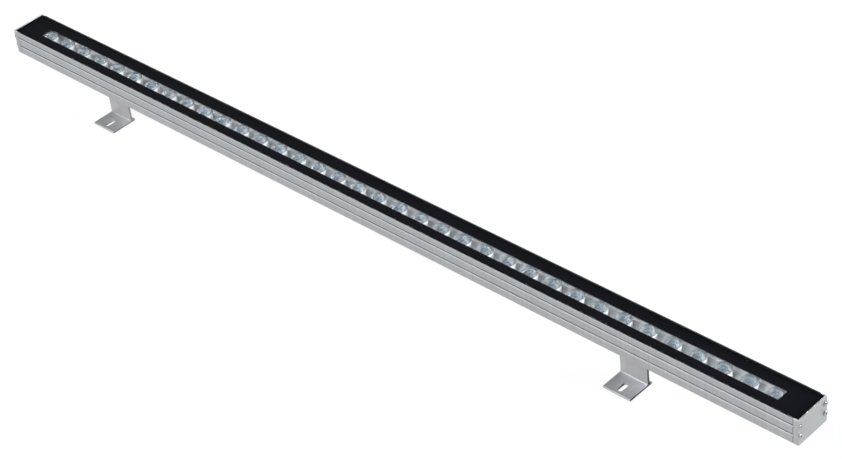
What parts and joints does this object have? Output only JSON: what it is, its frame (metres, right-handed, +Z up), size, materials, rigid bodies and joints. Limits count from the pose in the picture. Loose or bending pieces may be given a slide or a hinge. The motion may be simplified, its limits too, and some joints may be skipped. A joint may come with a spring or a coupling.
{
  "type": "outdoor wall washer light",
  "caption": "Slim linear outdoor wall washer with a black-bordered glass front over a row of lenses, on two slotted feet that slide and tilt.",
  "frame": {"origin": "centre of the footprint, on the surface that the feet stand on", "axes": "+X along the lamp towards the end without the lead entry, +Y away from the side that the feet's slots point to, +Z up, the way the glass faces"},
  "size_m": [1.0028, 0.0449, 0.0676],
  "materials": {
    "anodised_aluminium": "satin silver anodised extrusion with fine lines along its length",
    "cap_aluminium": "fine matt silver anodised plate",
    "bracket_aluminium": "satin silver anodised extrusion, sawn ends darker",
    "stainless_steel": "bright stainless steel",
    "black_steel": "black oxide",
    "clear_glass": "clear toughened glass, polished",
    "black_print": "black ceramic print behind the glass",
    "grey_silicone": "matt grey silicone",
    "white_board": "white solder mask on an aluminium board",
    "led_phosphor": "yellow phosphor under a clear dome",
    "lens_acrylic": "clear moulded acrylic",
    "holder_plastic": "pale grey moulded plastic",
    "black_chip": "black epoxy",
    "white_connector": "white moulded nylon",
    "black_nylon": "black moulded nylon",
    "black_rubber": "black rubber"
  },
  "bodies": {
    "lamp": {"housing": "anodised_aluminium", "left_end_cap": "cap_aluminium", "right_end_cap": "cap_aluminium", "left_cap_gasket": "grey_silicone", "right_cap_gasket": "grey_silicone", "left_cap_screws": "stainless_steel", "right_cap_screws": "stainless_steel", "front_glass": "clear_glass", "window_print": "black_print", "glass_seal": "grey_silicone", "left_led_board": "white_board", "right_led_board": "white_board", "left_leds": "led_phosphor", "right_leds": "led_phosphor", "left_lens_holders": "holder_plastic", "right_lens_holders": "holder_plastic", "left_lenses": "lens_acrylic", "right_lenses": "lens_acrylic", "left_current_regulators": "black_chip", "right_current_regulators": "black_chip", "left_board_screws": "stainless_steel", "right_board_screws": "stainless_steel", "board_link": "white_connector", "power_terminal": "white_connector", "gland_body": "black_nylon", "gland_washer": "black_rubber", "gland_seal": "black_rubber", "gland_dome_nut": "black_nylon", "gland_locknut": "black_nylon"},
    "left_bracket_clip": {"left_clip": "bracket_aluminium", "left_clip_set_screws": "black_steel", "left_pivot_bolt": "stainless_steel", "left_pivot_nut": "stainless_steel", "left_pivot_washers": "stainless_steel"},
    "right_bracket_clip": {"right_clip": "bracket_aluminium", "right_clip_set_screws": "black_steel", "right_pivot_bolt": "stainless_steel", "right_pivot_nut": "stainless_steel", "right_pivot_washers": "stainless_steel"},
    "left_bracket_foot": {"left_foot": "bracket_aluminium"},
    "right_bracket_foot": {"right_foot": "bracket_aluminium"}
  },
  "joints": [
    {"name": "left_clip_slide", "type": "slide", "parent": "lamp", "child": "left_bracket_clip", "axis": [1, 0, 0], "range_m": [-0.085, 0.33]},
    {"name": "right_clip_slide", "type": "slide", "parent": "lamp", "child": "right_bracket_clip", "axis": [1, 0, 0], "range_m": [-0.28, 0.164]},
    {"name": "left_foot_tilt", "type": "hinge", "parent": "left_bracket_clip", "child": "left_bracket_foot", "pos_m": [-0.3658, 0.00285, 0.0306], "axis": [1, 0, 0], "range_deg": [-90, 90]},
    {"name": "right_foot_tilt", "type": "hinge", "parent": "right_bracket_clip", "child": "right_bracket_foot", "pos_m": [0.3141, 0.00285, 0.0306], "axis": [1, 0, 0], "range_deg": [-90, 90]}
  ]
}
